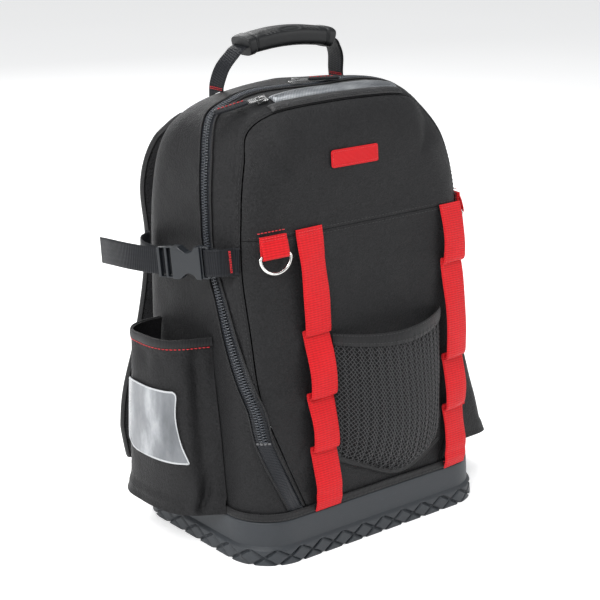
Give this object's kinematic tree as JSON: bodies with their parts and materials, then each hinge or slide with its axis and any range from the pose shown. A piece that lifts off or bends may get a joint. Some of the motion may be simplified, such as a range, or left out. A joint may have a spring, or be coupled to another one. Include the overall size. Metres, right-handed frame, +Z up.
{
  "type": "tool backpack",
  "caption": "Upright soft tool backpack on a moulded rubber base, with side pockets, a front net pocket, red webbing loops, metal rings, zips and a carrying handle.",
  "frame": {"origin": "centre of the flat underside of the rubber base", "axes": "+Z up along the bag's height, the front faces -Y, +X is to the right seen from the front"},
  "size_m": [0.4529, 0.3038, 0.553],
  "materials": {
    "body_cloth": "matt black polyester canvas",
    "zip_tape": "black coil zip on a shiny coated tape",
    "edge_tape": "black ribbed binding tape",
    "base_rubber": "matt slate grey moulded rubber",
    "silver_band": "satin silver grey coated band",
    "red_web": "bright red nylon webbing",
    "black_web": "black ribbed webbing",
    "grip_rubber": "matt black moulded grip",
    "buckle_plastic": "dark grey moulded acetal",
    "nickel": "bright nickel plate",
    "clear_vinyl": "clear soft vinyl over a pale backing",
    "net_cloth": "black diamond net",
    "spacer_mesh": "black padded spacer mesh"
  },
  "bodies": {
    "bag": {"base_tray": "base_rubber", "base_binding": "edge_tape", "rear_gusset": "body_cloth", "main_zip": "zip_tape", "front_gusset": "body_cloth", "front_panel_lower": "body_cloth", "front_panel_upper": "body_cloth", "top_zip_band": "silver_band", "rain_flap": "body_cloth", "back_panel": "spacer_mesh", "left_pocket": "body_cloth", "left_pocket_hem": "edge_tape", "left_pocket_floor": "body_cloth", "right_pocket": "body_cloth", "right_pocket_hem": "edge_tape", "right_pocket_floor": "body_cloth", "pocket_window": "clear_vinyl", "red_strap_left": "red_web", "red_strap_right": "red_web", "net_pocket": "net_cloth", "net_pocket_hem": "edge_tape", "ring_loop_left": "red_web", "ring_loop_right": "red_web", "main_zip_slider": "nickel", "front_zip_slider": "nickel", "buckle_socket": "buckle_plastic", "buckle_plug": "buckle_plastic", "side_strap_front": "black_web", "side_strap_rear": "black_web", "handle_web": "black_web", "handle_grip": "grip_rubber", "harness_yoke": "black_web", "shoulder_pad_left": "spacer_mesh", "lower_web_left": "black_web", "shoulder_pad_right": "spacer_mesh", "lower_web_right": "black_web", "front_label": "red_web"},
    "ring_left": {"d_ring_left": "nickel"},
    "ring_right": {"d_ring_right": "nickel"},
    "main_pull": {"main_zip_puller": "nickel", "main_zip_pull_tab": "black_web"},
    "front_pull": {"front_zip_puller": "nickel", "front_zip_pull_tab": "black_web"}
  },
  "joints": [
    {"name": "ring_left_swing", "type": "hinge", "parent": "bag", "child": "ring_left", "pos_m": [-0.12504, -0.09171, 0.33954], "axis": [-0.9899, 0.1364, -0.0376], "range_deg": [0, 140]},
    {"name": "ring_right_swing", "type": "hinge", "parent": "bag", "child": "ring_right", "pos_m": [0.16469, -0.06323, 0.33953], "axis": [-0.4379, -0.8912, 0.1184], "range_deg": [0, 140]},
    {"name": "main_pull_lift", "type": "hinge", "parent": "bag", "child": "main_pull", "pos_m": [-0.02201, 0.0042, 0.49979], "axis": [-0.1451, -0.9894, -0.0003], "range_deg": [0, 160]},
    {"name": "front_pull_lift", "type": "hinge", "parent": "bag", "child": "front_pull", "pos_m": [-0.09235, -0.02751, 0.49195], "axis": [0.1475, 0.9503, 0.2741], "range_deg": [0, 160]}
  ]
}
